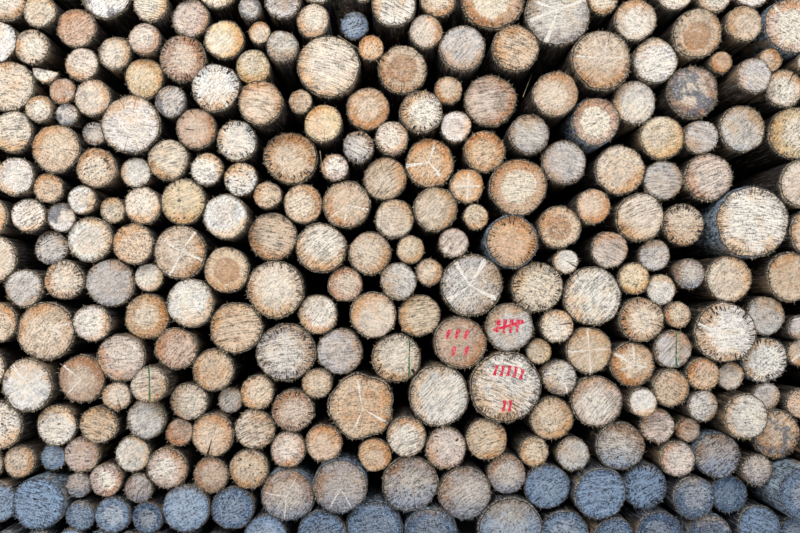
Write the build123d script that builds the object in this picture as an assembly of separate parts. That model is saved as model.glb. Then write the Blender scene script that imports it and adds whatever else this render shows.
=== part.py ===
from build123d import *

import math
import os

import numpy as np

# Stack of round softwood logs. Their ends make the front of the stack.
# X runs along the front, Y along the logs, and Z is up. Sizes are in millimetres.

# Driving dimensions of one log
LOG_LENGTH = 5000
LENGTH_SPREAD = 30  # a log is up to this much longer than it was ordered
TAPER = 5.0  # diameter that a log loses in each metre of its length
OVALITY = 0.025  # share of the radius by which a log is wider one way than the other
EGG_SHAPE = 0.015  # share of the radius by which a log bulges to three sides
SIDES = 11  # flat sides of a log, enough for their corners to stand out by its bark only

# Driving dimensions of the stack
END_SCATTER = 30  # how far an ordinary end lies before or behind the flush line
CLEARANCE = 0.7  # air between two logs that bear on each other
GROUND_DROP = 60  # the layout's zero height lies this much above the ground
STACK_HEIGHT = 2960
CREST_HALF_WIDTH = 2240
END_BATTER = 22  # degrees by which the ends of the stack lean in from upright
END_LOG_SMALL = 150
END_LOG_LARGE = 290
END_COURSE_PITCH = 222
FIRST_END_COURSE = 110
GROUND_LOG = 0.62  # a log lower than this share of its diameter lies on the ground

# Layout of the front, from the ground up: across, up, diameter and, where an end isn't
# flush, how far it stands forward. All are in centimetres from the middle of the front.
CM = 10
COURSES = [
    [(-212, 2, 16), (-196, 2, 15), (-180.5, 2.5, 15.5), (-165, 1.5, 15), (-150, 1, 14.5),
     (-135.5, 1, 14), (-121.5, 0.5, 13.5), (-107.5, 1, 14), (-93.5, 0.5, 13)],
    [(-158.6, 18.7, 15), (-142, 19.1, 18.2), (-125.4, 16.3, 16), (-106.5, 20, 24),
     (-84.8, 18.8, 21.5), (-66.8, 7.3, 22.3), (-40.9, 6.8, 24.6), (-10, 8.5, 29), (18, 9, 26.5),
     (52, 7.2, 32), (82.3, 5.2, 24.4), (106.5, 7, 20.5), (128.5, 7.7, 24.5), (154.7, 9.5, 22.6),
     (177.8, 14.7, 21.3), (200.5, 8.7, 22)],
    [(-148.1, 35.3, 16.8), (-163.6, 31.6, 13), (-181.4, 25.9, 26), (-203.8, 26, 21.5),
     (-129.9, 29.9, 14.4), (-73.9, 35.4, 19.8), (-55, 25.2, 26.5), (-29.1, 29.9, 27),
     (3.3, 31.8, 28), (34.5, 29.1, 26.3), (56.6, 33.7, 20), (75.9, 25.6, 23), (98, 28.7, 26),
     (123.1, 30, 23, -4), (143.7, 26.6, 21), (164.4, 26.5, 18.7), (198.5, 31.5, 27, 9)],
    [(-190.4, 43.3, 16.4), (-176.1, 46.3, 13.5, -4), (-161.4, 47.4, 18.2), (-135.3, 45.5, 18.4),
     (-115.2, 39.7, 20.5), (-92, 37.6, 17.8), (-55.7, 46.9, 18.2), (-16, 45.8, 17),
     (21.9, 49.5, 20.8), (66.8, 48.7, 15.3), (82.6, 44.2, 17), (137.6, 45.1, 18),
     (157.4, 44.8, 23), (174.7, 40.9, 15.3)],
    [(-198.5, 62.4, 24.5), (-175, 64.2, 20.7), (-149, 64.2, 18.8), (-129.5, 65.7, 20.3),
     (-111.5, 57.8, 14.5, -5), (-93.8, 57.7, 21.5), (-72.7, 56.4, 20), (-37.6, 52.7, 18.7),
     (3.7, 55.6, 19.8, 6), (43.8, 51.6, 21), (77.2, 63.8, 22), (110.7, 51.9, 24.5),
     (131.7, 61, 17.8), (146, 61, 12.5), (169.8, 65.9, 22, 8), (188.3, 57.2, 24.5)],
    [(-183.5, 83.3, 26), (-124.7, 83.7, 18, 12), (-142.1, 77.3, 14.5), (-107.1, 73.9, 19),
     (-86.9, 74.1, 13.3, -5), (-69.8, 76, 17), (-41.5, 81.3, 15), (-18.4, 71.9, 33.5, 5),
     (-51.8, 66.1, 21.3), (20.1, 75.2, 30.5), (52.9, 78.2, 35.5, 4), (78.7, 85.1, 17.3),
     (96.5, 72.8, 26), (118.2, 71, 14.5, 5), (133.5, 78.9, 18.5), (151.1, 75.2, 15.5),
     (182.9, 77.7, 14), (203, 72, 15)],
    [(-138.7, 97, 24, 4), (-113.5, 102.8, 21.2), (-158.7, 87.7, 24), (-97.3, 90.2, 21),
     (-206, 89.3, 19.5), (-58.2, 95.4, 29.5), (-29.7, 98.6, 23.3), (1.5, 94.9, 25),
     (30.7, 100.7, 26), (69.3, 97.2, 13.2), (94.5, 97, 23.3), (138.5, 100.2, 19),
     (184.9, 98.8, 23.3), (116.9, 90.3, 22.7), (152.8, 91.8, 16.5), (170, 88.7, 14.3),
     (202.5, 96, 14)],
    [(-129.5, 119.9, 23), (-103.5, 123.3, 24), (-199.7, 112.9, 20.4), (-175.9, 110.2, 29.3),
     (-153.8, 110, 18.7), (-42.7, 116.1, 19.9), (-82.3, 109.1, 26), (-12.6, 114.6, 23.5),
     (11.5, 116.1, 21.5), (54.3, 108.5, 24), (77.8, 108.1, 16.6), (121.2, 114, 22.2),
     (139, 116.8, 13.3), (164.5, 114, 29.8, 7), (202, 110, 12.5)],
    [(-168.6, 136.3, 20), (-147.1, 133.5, 24.5), (-130.4, 138.4, 14.7), (-187.1, 131.3, 19),
     (-86.2, 139.5, 23), (-61.7, 130.3, 28.7), (-29.3, 130.4, 17.8), (-1, 131, 18.5),
     (15.4, 138.2, 13.9), (34.8, 128.8, 30.7), (68, 129.3, 25.5), (95.3, 124.5, 29.5),
     (117.2, 133.5, 16.3), (132.1, 129.9, 15.2), (148, 135.2, 15.4), (185.9, 124.9, 19.3)],
    [(-174.5, 150.8, 18, -6), (-156.9, 155, 22.9), (-134, 153.5, 20.5), (-113.4, 147, 26.7),
     (-205.7, 142.2, 23.6), (-66.8, 156.2, 24.6), (-41.8, 149.4, 25.5), (-15.8, 148.6, 22),
     (4.5, 148.3, 14.5), (27.2, 149.6, 15), (53.4, 150.8, 26, 5), (81.8, 142.5, 12.7),
     (104.3, 149.5, 18.5), (128.4, 146.9, 16.3), (173.3, 152.7, 36.5), (204.7, 149.4, 26)],
    [(-203.4, 169.2, 19.5), (-186.4, 163.3, 17.6), (-169.3, 167.1, 14.8), (-155.7, 173.2, 14.5),
     (-144, 168.7, 13.2), (-129.1, 174.1, 19), (-106.8, 172.3, 23), (-88.7, 165, 22.3, 5),
     (-66.1, 176, 14), (-51, 171.7, 19.9), (-28.9, 171.6, 23.8), (-4.5, 165, 19.8),
     (17, 167.2, 22), (37.8, 167.2, 12.9), (79.8, 160.9, 21.8), (96.5, 174.8, 17.5),
     (121.4, 168.1, 24.3), (142.9, 162.4, 21.3)],
    [(-175.1, 177.1, 15), (-190, 186.1, 19.5), (-151.5, 189.5, 20), (-137.3, 184.5, 15.8),
     (-117.7, 191, 20.5), (-95, 189, 16.5), (-79.8, 183, 17.2), (-31, 189.9, 13.8),
     (-8.6, 184, 22), (15, 192.2, 25), (33.3, 180.4, 17.5), (58.9, 177.3, 28.7),
     (82.3, 193.3, 22.5), (113.5, 192.8, 25.3), (135.5, 183.8, 20), (160.5, 181.7, 24),
     (200.5, 177, 25, 5)],
    [(-192, 207.5, 21), (-156.5, 208.3, 12.4, -3), (-133.6, 208.2, 29.2), (-170.2, 197.3, 24),
     (-38.2, 212.3, 19), (-104, 205.8, 20.3), (-82, 202.6, 20.5), (-54.8, 195.4, 27),
     (29.5, 212.7, 15.8), (-20.8, 201.6, 15.8), (-4, 204.6, 17), (42.4, 198.7, 21),
     (98.8, 213.2, 24, 6), (64.3, 207.1, 20, 4), (172.6, 211, 23.5), (198.4, 203.4, 26.5),
     (151.2, 201.3, 17.6), (132.4, 206.2, 22.3)],
    [(-200.5, 229.7, 25.8), (-170.7, 229.3, 13.4), (-184.2, 223, 13.6), (-172.2, 217.5, 11.5),
     (-150.9, 222.6, 18.7), (-128.9, 232.2, 20.2), (-114.4, 221.6, 16), (-93.8, 228.2, 24, 6),
     (-72.5, 222, 22, 6), (-50.1, 224.2, 12.2), (23.4, 228.9, 14.5), (-15.3, 216.5, 22),
     (9.2, 216.4, 21.5), (43.9, 223.8, 26.3), (75.8, 224.7, 22.5, 6), (117.4, 223.5, 22.3),
     (149.7, 225.1, 26.3), (195.3, 228.2, 19.3)],
    [(-182, 237.5, 14), (-158.4, 238.4, 16.8), (-106.2, 240.8, 23.5), (-75.1, 240.6, 18),
     (-35.8, 241.4, 31.5), (2.1, 241.4, 24.7), (31.1, 249.8, 23), (57.3, 249.4, 23.5),
     (100.8, 242.2, 30, 5), (128.7, 244.3, 23), (158.6, 240.6, 11), (174.7, 235, 17.5, 6),
     (186, 242.1, 12), (202, 240, 12)],
    [(-184.6, 249.9, 17.5), (-159.7, 255.9, 20), (-145.6, 248.7, 17), (-127.5, 253.3, 16),
     (-87.7, 254.8, 20.3), (-70.1, 258.4, 11.2), (-58.5, 250.4, 16.3), (-14.3, 250.6, 12.9),
     (12.4, 259.8, 16.9), (117.5, 264, 21, 4), (148.6, 257.9, 25), (172.5, 262.4, 18.5, 4),
     (195.8, 261, 28.5)],
    [(-200.5, 272.3, 20), (-180.4, 268.7, 16.4), (-149.2, 278.8, 25.2), (-123.9, 271.6, 17.2),
     (-105.7, 266.5, 19.4), (-74.7, 269.7, 11.6), (-58.9, 274.5, 18.5), (-43.9, 265.1, 17),
     (-23, 265.8, 14.7, -8), (-17, 279, 12), (-3.1, 271.2, 22), (18.5, 274, 18),
     (46.6, 276.7, 32.7), (79.2, 268.2, 33), (102.8, 275.9, 15.5), (158.2, 277.9, 18.4)],
    [(-189.5, 286, 17), (-167, 284, 15), (-129, 288, 18), (-110.5, 285, 18), (-91.1, 282, 20),
     (-73, 284, 16), (-41.5, 283, 18), (-12.5, 290, 14), (8, 289, 16), (67, 290, 15),
     (93, 289, 16), (118, 284, 18), (136.8, 281, 22), (176, 281, 19), (196, 284, 17)],
]
SPLIT_LOG = COURSES[14][0]  # the one log that is split down its length
SPLIT_TURN = -12  # degrees by which the split face leans

# How the logs are let down onto each other
SEED = 17
SECTIONS = 13  # places along two logs where the last steps keep them apart
SETTLING = [  # steps, first and last drop of a step, sections
    (150, 0.0, 0.0, 2),
    (150, 0.1, 0.05, 2),
    (100, 0.05, 0.01, 3),
    (400, 0.0, 0.0, 5),
    (1000, 0.0, 0.0, SECTIONS),
]
EASE = 0.8  # share of an overlap that one step takes away
LOWERINGS = 200
REACH = 30  # logs whose outlines are this near are looked at as a pair
STEPS_PER_REACH = 20  # steps after which the pairs are found again
LOWERINGS_PER_REACH = 10


def end_logs(front, dice):
    """Logs past both sides of the layout, out to the leaning ends of the stack. Above
    the layout they start from the middle."""
    more = []
    lean = math.tan(math.radians(END_BATTER))
    for side in (-1, 1):
        height = FIRST_END_COURSE
        while height < STACK_HEIGHT - END_LOG_SMALL / 2:
            level = [log for log in front if abs(log[1] - height) < END_COURSE_PITCH / 2]
            across = max((side * log[0] + log[2] / 2 for log in level), default=0)
            reach = CREST_HALF_WIDTH + (STACK_HEIGHT - height) * lean
            while across + END_LOG_SMALL < reach:
                size = dice.uniform(END_LOG_SMALL, END_LOG_LARGE)
                more.append((side * (across + size / 2), height, size))
                across += size
            height += END_COURSE_PITCH
    return more


def round_outline(dice):
    """Corners of a slightly uneven log end, with the area of a circle of radius 1."""
    angles = dice.uniform(0, 2 * math.pi) + np.arange(SIDES) * 2 * math.pi / SIDES
    full = math.sqrt(2 * math.pi / (SIDES * math.sin(2 * math.pi / SIDES)))
    oval = OVALITY * dice.uniform(0, 1) * np.cos(2 * (angles - dice.uniform(0, math.pi)))
    egg = EGG_SHAPE * dice.uniform(0, 1) * np.cos(3 * (angles - dice.uniform(0, math.pi)))
    radii = full * (1 + oval + egg)
    return np.column_stack([radii * np.cos(angles), radii * np.sin(angles)])


def split_outline():
    """Corners of a half-round log, flat side up."""
    angles = math.pi + np.arange(SIDES) * math.pi / (SIDES - 1)
    return turned(np.column_stack([np.cos(angles), np.sin(angles)]), math.radians(SPLIT_TURN))


def turned(points, angle):
    """Points turned about the middle by an angle in radians."""
    c, s = math.cos(angle), math.sin(angle)
    return points @ np.array([[c, s], [-s, c]])


def face_normals(points):
    """Outward unit normals of an outline whose corners run anticlockwise."""
    edges = np.roll(points, -1, axis=0) - points
    normals = np.column_stack([edges[:, 1], -edges[:, 0]])
    return normals / np.linalg.norm(normals, axis=1)[:, None]


def laid_flat(points):
    """The outline turned so that the side nearest the ground lies flat on it."""
    normals = face_normals(points)
    lowest = normals[np.argmin(normals[:, 1])]
    return turned(points, -math.pi / 2 - math.atan2(lowest[1], lowest[0]))


class Logs:
    """All logs: outlines, radii and places at both ends, and where each starts and stops."""

    def __init__(self, layout, shapes, on_ground, starts, stops, dice):
        butt_end = np.where(dice.random(len(layout)) < 0.5, -1, 1)
        radius = layout[:, 2] / 2
        self.shapes = shapes
        self.on_ground = on_ground
        self.normals = np.array([face_normals(shape) for shape in shapes])
        self.radii = np.array([radius, radius + butt_end * TAPER * LOG_LENGTH / 2000])
        self.places = np.array([layout[:, :2], layout[:, :2]])
        self.first = starts / LOG_LENGTH + 0.5
        self.last = stops / LOG_LENGTH + 0.5

    def outline(self, k, station):
        """Corners of one log's outline at a station, 0 at the flush front and 1 at the back."""
        return self.place(k, station) + self.radius(k, station) * self.shapes[k]

    def place(self, k, station):
        return self.places[0][k] * (1 - station) + self.places[1][k] * station

    def radius(self, k, station):
        return self.radii[0][k] * (1 - station) + self.radii[1][k] * station


class Pairs:
    """Neighbouring logs, and the directions in which their outlines can part."""

    def __init__(self, logs):
        apart = np.linalg.norm(logs.places[:, :, None] - logs.places[:, None], axis=3)
        gap = (apart - logs.radii[:, :, None] - logs.radii[:, None]).min(axis=0)
        a, b = np.nonzero(np.triu(gap < REACH, 1))
        own = np.einsum("ikc,ikc->ik", logs.normals, logs.shapes)
        across_ab = np.einsum("mkc,mvc->mkv", logs.normals[a], logs.shapes[b])
        across_ba = np.einsum("mkc,mvc->mkv", logs.normals[b], logs.shapes[a])
        self.logs, self.a, self.b = logs, a, b
        self.first = np.maximum(logs.first[a], logs.first[b])
        self.last = np.minimum(logs.last[a], logs.last[b])
        self.ways = np.concatenate([logs.normals[a], -logs.normals[b]], axis=1)
        self.part_a = np.concatenate([own[a], -across_ba.min(axis=2)], axis=1)
        self.part_b = np.concatenate([-across_ab.min(axis=2), own[b]], axis=1)

    def gaps(self, sections):
        """Gaps at sections spread over the length that the logs of a pair have in common,
        the ways across them, and the stations. A negative gap is an overlap."""
        logs = self.logs
        shares = np.linspace(0, 1, sections)[:, None]
        station = self.first + (self.last - self.first) * shares
        apart = logs.place(self.b, station[:, :, None]) - logs.place(self.a, station[:, :, None])
        room = apart[:, :, :1] * self.ways[:, :, 0] + apart[:, :, 1:] * self.ways[:, :, 1]
        room -= logs.radius(self.a, station)[:, :, None] * self.part_a
        room -= logs.radius(self.b, station)[:, :, None] * self.part_b
        best = np.argmax(room, axis=2)
        return room.max(axis=2), self.ways[np.arange(len(self.a)), best], station


def push_apart(pairs, sections):
    """One step that moves overlapping logs apart, with the least gap that it found."""
    logs = pairs.logs
    gap, way, station = pairs.gaps(sections)
    push = way * (np.clip(CLEARANCE - gap, 0, None) * EASE * 2 / sections)[:, :, None]
    for places, part in zip(logs.places, (1 - station, station)):
        move = (push * part[:, :, None]).sum(axis=0)
        np.add.at(places, pairs.a, -move)
        np.add.at(places, pairs.b, move)
    keep_inside(logs)
    return gap.min()


def keep_inside(logs):
    """Logs below the ground or past the leaning ends are moved back. Those of the ground
    course stay down on it over their whole length, and others stay just clear of it."""
    lean = math.radians(END_BATTER)
    for places, radii in zip(logs.places, logs.radii):
        size = radii[:, None, None] * logs.shapes
        for side in (-1, 1):
            outward = np.array([side * math.cos(lean), math.sin(lean)])
            limit = CREST_HALF_WIDTH * math.cos(lean) + STACK_HEIGHT * math.sin(lean)
            over = (places[:, None] + size) @ outward - limit
            places -= np.clip(over.max(axis=1), 0, None)[:, None] * outward
        low = (places[:, None, 1] + size[:, :, 1]).min(axis=1)
        places[:, 1] -= np.where(logs.on_ground, low, np.clip(low - CLEARANCE, None, 0))


def lower(pairs):
    """One step that lowers each log that bears on nothing, by half of its least gap. One
    that is down on the ground slides against its nearest neighbour instead."""
    logs = pairs.logs
    free = np.full(len(logs.shapes), REACH / 4)
    gap, way, _ = pairs.gaps(SECTIONS)
    nearest = (gap.argmin(axis=0), np.arange(len(pairs.a)))
    gap, across = gap[nearest], way[nearest][:, 0]
    np.minimum.at(free, pairs.a, gap)
    np.minimum.at(free, pairs.b, gap)
    for k in np.nonzero(logs.on_ground & (free > CLEARANCE))[0]:
        own = np.nonzero((pairs.a == k) | (pairs.b == k))[0]
        near = own[np.argmin(gap[own])]
        side = across[near] if pairs.a[near] == k else -across[near]
        logs.places[:, k, 0] += side * (free[k] - CLEARANCE) / 2
    for places, radii in zip(logs.places, logs.radii):
        corners = places[:, None, 1] + radii[:, None] * logs.shapes[:, :, 1]
        free = np.minimum(free, corners.min(axis=1))
    logs.places[:, :, 1] -= np.clip(free - CLEARANCE, 0, None) / 2


def settle(logs):
    """Let the logs down until each bears on its neighbours or on the ground."""
    for steps, first_drop, last_drop, sections in SETTLING:
        for step in range(steps):
            if step % STEPS_PER_REACH == 0:
                pairs = Pairs(logs)
            logs.places[:, :, 1] -= first_drop + (last_drop - first_drop) * step / steps
            if push_apart(pairs, sections) > CLEARANCE / 2:
                break
    for step in range(LOWERINGS):
        if step % LOWERINGS_PER_REACH == 0:
            pairs = Pairs(logs)
        lower(pairs)


def log_solid(front, back):
    """A straight log with flat sawn ends, from the corners of both ends."""
    front = [Vector(*corner) for corner in front]
    back = [Vector(*corner) for corner in back]
    faces = [Face(Wire.make_polygon(front)), Face(Wire.make_polygon(back))]
    for k in range(len(front)):
        n = (k + 1) % len(front)
        faces.append(Face(Wire.make_polygon([front[k], front[n], back[n], back[k]])))
    return Solid(Shell(faces))


def front_layout():
    """Layout in millimetres above the ground, with each log's course and forward stand."""
    front, course, stand = [], [], []
    for number, row in enumerate(COURSES):
        for log in row:
            front.append((log[0] * CM, log[1] * CM + GROUND_DROP, log[2] * CM))
            course.append(number)
            stand.append(log[3] * CM if len(log) > 3 else 0)
    return front, course, stand


def course_at(height, front, course):
    """The course whose own logs lie nearest to a height. Logs above the layout make
    courses of their own."""
    middles = [np.mean([log[1] for log, own in zip(front, course) if own == number])
               for number in range(len(COURSES))]
    above = math.ceil((height - middles[-1]) / END_COURSE_PITCH - 0.25)
    if above > 0:
        return len(COURSES) - 1 + above
    return int(np.argmin(np.abs(np.array(middles) - height)))


def build_stack():
    """All log solids, listed course by course."""
    dice = np.random.default_rng(SEED)
    front, course, stand = front_layout()
    split = [log for row in COURSES for log in row].index(SPLIT_LOG)
    more = end_logs(front, dice)
    course += [course_at(log[1], front, course) for log in more]
    stand += [0] * len(more)
    layout = np.array(front + more)

    shapes = np.array([round_outline(dice) for _ in layout])
    shapes[split] = split_outline()
    on_ground = layout[:, 1] < GROUND_LOG * layout[:, 2]
    for k in np.nonzero(on_ground)[0]:
        shapes[k] = laid_flat(shapes[k])
    starts = dice.uniform(-END_SCATTER, END_SCATTER, len(layout)) - stand - LOG_LENGTH / 2
    stops = starts + LOG_LENGTH + dice.uniform(0, LENGTH_SPREAD, len(layout))
    logs = Logs(layout, shapes, on_ground, starts, stops, dice)
    settle(logs)

    ends = np.zeros((len(layout), 2, SIDES, 3))
    for k in range(len(layout)):
        for end, y in enumerate((starts[k], stops[k])):
            outline = logs.outline(k, y / LOG_LENGTH + 0.5)
            ends[k, end] = np.insert(outline, 1, y, axis=1)
    low, high = ends.min(axis=(0, 1, 2)), ends.max(axis=(0, 1, 2))
    ends -= [(low[0] + high[0]) / 2, (low[1] + high[1]) / 2, low[2]]

    solids = [[] for _ in range(max(course) + 1)]
    for k, number in enumerate(course):
        solids[number].append(log_solid(*ends[k].tolist()))
    return solids


os.makedirs("parts", exist_ok=True)
for number, logs in enumerate(build_stack()):
    export_step(Compound(children=logs), f"parts/logs_course_{number + 1:02d}.step")
    print(f"course {number + 1}: {len(logs)} logs")
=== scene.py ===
# %% [markdown]
# # A stack of round logs
# The solid model gives every log as a plain bar with eleven flat sides. This lesson dresses
# each bar as a real log: a sawn end with growth rings and drying checks, and a coat of bark.
# The bars stay where they are, because they already bear on each other.

# %% Load the frame
import math
from functools import partialmethod

import bmesh
import bpy
import numpy as np
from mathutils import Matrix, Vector


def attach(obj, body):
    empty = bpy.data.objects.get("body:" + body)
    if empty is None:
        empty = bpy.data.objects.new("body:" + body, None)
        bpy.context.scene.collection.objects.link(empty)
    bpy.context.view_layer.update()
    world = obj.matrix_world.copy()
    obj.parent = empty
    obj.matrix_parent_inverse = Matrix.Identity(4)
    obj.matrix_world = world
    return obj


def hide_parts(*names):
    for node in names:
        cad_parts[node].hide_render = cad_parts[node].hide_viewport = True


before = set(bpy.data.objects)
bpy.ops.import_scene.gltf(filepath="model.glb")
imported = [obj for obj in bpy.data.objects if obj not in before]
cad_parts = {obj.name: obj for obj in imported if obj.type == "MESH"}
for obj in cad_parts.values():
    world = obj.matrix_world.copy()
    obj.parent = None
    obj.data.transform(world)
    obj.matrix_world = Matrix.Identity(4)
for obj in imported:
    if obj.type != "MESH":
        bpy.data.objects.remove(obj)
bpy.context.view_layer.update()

# %% [markdown]
# ## Camera, light and floor
# The photograph was taken a few steps in front of the log ends, at chest height, with a wide
# lens, so the logs near its edges show their sides. The camera stands square to the stack, and
# a small lens shift frames it. The light is that of a bright overcast sky: wide, soft and
# mostly from above and in front.

# %% Camera, light and floor
CAMERA_PLACE = (-0.074, -5.793, 1.30)
LENS = 29.7
LENS_SHIFT = (0.019, 0.042)
CLIPPING = (0.05, 100)
SKY_COLOUR, SKY_STRENGTH = (0.74, 0.85, 1.0, 1), 0.46

scene = bpy.context.scene
scene.view_settings.view_transform = "Standard"


def new_object(name, data):
    """An object of the scene that holds a mesh, a lamp or a camera."""
    made = bpy.data.objects.new(name, data)
    scene.collection.objects.link(made)
    return made


camera = new_object("camera", bpy.data.cameras.new("camera"))
camera.location = CAMERA_PLACE
camera.rotation_euler = (math.radians(90), 0, 0)
camera.data.lens = LENS
camera.data.shift_x, camera.data.shift_y = LENS_SHIFT
camera.data.clip_start, camera.data.clip_end = CLIPPING
scene.camera = camera


def lamp(name, place, aim, width, height, watts, tint):
    """A soft rectangular lamp that faces a point."""
    light = bpy.data.lights.new(name, "AREA")
    light.shape, light.size, light.size_y = "RECTANGLE", width, height
    light.energy, light.color = watts, tint
    thing = new_object(name, light)
    thing.location = place
    way = Vector(aim) - Vector(place)
    thing.rotation_euler = way.to_track_quat("-Z", "Y").to_euler()


lamp("sky_front", (-3.0, -9.0, 7.0), (0, -2.5, 1.4), 8, 5, 660, (1.0, 0.98, 0.955))
lamp("sky_right", (7.0, -7.0, 4.0), (0, -2.5, 1.4), 5, 5, 130, (0.93, 0.97, 1.0))
lamp("sky_top", (0, 0.5, 9.0), (0, 0, 1.5), 9, 9, 380, (0.94, 0.97, 1.0))
lamp("sky_back", (-2.0, 9.5, 6.5), (0, 2.5, 1.4), 8, 5, 520, (0.96, 0.98, 1.0))
lamp("sky_left", (-8.5, 1.5, 5.0), (0, 0, 1.4), 6, 5, 260, (0.97, 0.985, 1.0))

world = bpy.data.worlds.new("sky")
world.use_nodes = True
scene.world = world
sky = world.node_tree.nodes["Background"].inputs
sky["Color"].default_value, sky["Strength"].default_value = SKY_COLOUR, SKY_STRENGTH

# %% [markdown]
# ## Maths for materials
# A material works out its colours from numbers that differ from point to point. A small class
# lets such a number stand in a plain sum, and each sign adds the node that does the sum.

# %% Maths for materials
SHINE = 0.25  # how much light rough wood and bark mirror


def paint(code):
    """A colour written as on a paint card, turned into the renderer's own scale."""
    parts = [int(code[k:k + 2], 16) / 255 for k in (0, 2, 4)]
    return [c / 12.92 if c <= 0.04045 else ((c + 0.055) / 1.055) ** 2.4 for c in parts] + [1.0]


def feed(tree, socket, value):
    """Links an input to what it reads, or sets it. A colour can be the code of a paint."""
    value = getattr(value, "socket", value)
    if isinstance(value, bpy.types.NodeSocket):
        tree.links.new(value, socket)
    else:
        coded = socket.type == "RGBA" and isinstance(value, str)
        socket.default_value = paint(value) if coded else value


def new_node(tree, kind, settings, inputs):
    """A node with its settings made first, then its inputs."""
    made = tree.nodes.new(kind)
    for key, value in settings.items():
        setattr(made, key, value)
    for key, value in inputs.items():
        feed(tree, made.inputs[key], value)
    return made


class Number:
    """A number that a material works out at each point of a surface."""

    def __init__(self, recipe, socket):
        self.recipe, self.socket = recipe, socket

    def maths(self, operation, *others):
        return self.recipe.maths(operation, self, *others)

    __add__ = __radd__ = partialmethod(maths, "ADD")
    __sub__ = partialmethod(maths, "SUBTRACT")
    __mul__ = __rmul__ = partialmethod(maths, "MULTIPLY")
    __truediv__ = partialmethod(maths, "DIVIDE")
    __pow__ = partialmethod(maths, "POWER")

    def __rsub__(self, other):
        return self.recipe.maths("SUBTRACT", other, self)

    def clamped(self):
        return self.recipe.number("Clamp", {}, self)

    def ramp(self, low, high):
        """0 below low, 1 above high, and a smooth rise between them."""
        settings = {"interpolation_type": "SMOOTHSTEP"}
        return self.recipe.number("MapRange", settings, self, low, high, 0.0, 1.0)


class Recipe:
    """A material with one surface shader, its colour so far, and the nodes that feed it."""

    def __init__(self, name):
        self.material = bpy.data.materials.new(name)
        self.material.use_nodes = True
        self.tree = self.material.node_tree
        self.shader = self.tree.nodes["Principled BSDF"]

    def node(self, kind, settings, *values, **named):
        """A node with its inputs by place or by name."""
        return new_node(self.tree, "ShaderNode" + kind, settings,
                        {**dict(enumerate(values)), **named})

    def number(self, kind, settings, *values, **named):
        return Number(self, self.node(kind, settings, *values, **named).outputs[0])

    def maths(self, operation, *values):
        return self.number("Math", {"operation": operation}, *values)

    def attribute(self, name, output="Vector"):
        """A colour or vector that the mesh carries at its points."""
        return self.node("Attribute", {"attribute_name": name}).outputs[output]

    def amount(self, name):
        """One number that the mesh carries at its points."""
        return Number(self, self.attribute(name, "Fac"))

    def place(self):
        """Where a point of the surface lies, in metres."""
        return self.node("TexCoord", {}).outputs["Object"]

    def parts(self, vector):
        """The three numbers of a vector, which can be the name of one on the mesh."""
        vector = self.attribute(vector) if isinstance(vector, str) else vector
        made = self.node("SeparateXYZ", {}, vector)
        return [Number(self, socket) for socket in made.outputs]

    def vector(self, x, y, z):
        return self.node("CombineXYZ", {}, x, y, z).outputs[0]

    def noise(self, vector, scale, detail=2.0, rough=0.5, distortion=0.0):
        """Cloudy noise from 0 to 1, with its middle near 0.5."""
        return self.number("TexNoise", {}, Vector=vector, Scale=scale,
                           Detail=detail, Roughness=rough, Distortion=distortion)

    def blend(self, share, first, second, way="MIX"):
        """Two colours mixed by a share from 0 to 1."""
        return new_node(self.tree, "ShaderNodeMix", {"data_type": "RGBA", "blend_type": way},
                        {0: share, 6: first, 7: second}).outputs[2]

    def lay(self, share, over):
        """Lays another colour over the material's, by a share from 0 to 1."""
        self.colour = self.blend(share, self.colour, over)

    def stain(self, share, over):
        """Stains the material's colour, by a share from 0 to 1."""
        self.lay(share, self.blend(1.0, self.colour, over, "MULTIPLY"))

    def shaded(self, colour, by):
        """A colour made lighter or darker by a number around 1."""
        grey = self.node("CombineColor", {}, by, by, by).outputs[0]
        return self.blend(1.0, colour, grey, "MULTIPLY")

    def finish(self, height, rise, roughness):
        """Feeds the shader: its colour, a bumpy height in metres times rise, and roughness."""
        bump = self.node("Bump", {}, Strength=1.0, Distance=rise, Height=height)
        for name, value in (("Base Color", self.colour), ("Normal", bump.outputs[0]),
                            ("Roughness", roughness), ("Specular IOR Level", SHINE)):
            feed(self.tree, self.shader.inputs[name], value)
        return self.material


# %% [markdown]
# ## The sawn end
# A log's end shows rings round its pith, the fuzzy marks of the saw, short dark ticks near the
# rim, and patches that dried paler or stained darker. Some ends have pale dry rays. Each log
# differs, so the mesh carries a few numbers for each log, and one material reads them.

# %% Sawn end material
DARKEST, LIGHTEST = 0.15, 1.27  # how far the grain shades the wood's colour


def rotated(across, up, angle):
    """A place along and aside of a line at an angle."""
    cosine, sine = angle.maths("COSINE"), angle.maths("SINE")
    return across * cosine + up * sine, up * cosine - across * sine


def pale_rays(across, up, angles, width, slope, rough):
    """Pale lines that run out from the pith at up to four angles."""
    mask = across * 0.0
    for angle in angles:
        outward, aside = rotated(across, up, angle)
        aside = (aside + rough * 0.014).maths("ABSOLUTE")
        inside = (width + outward * slope - aside) / (width * 0.5 + 0.0008)
        mask = mask.maths("MAXIMUM", inside.clamped() * outward.ramp(-0.004, 0.002))
    return mask


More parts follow.
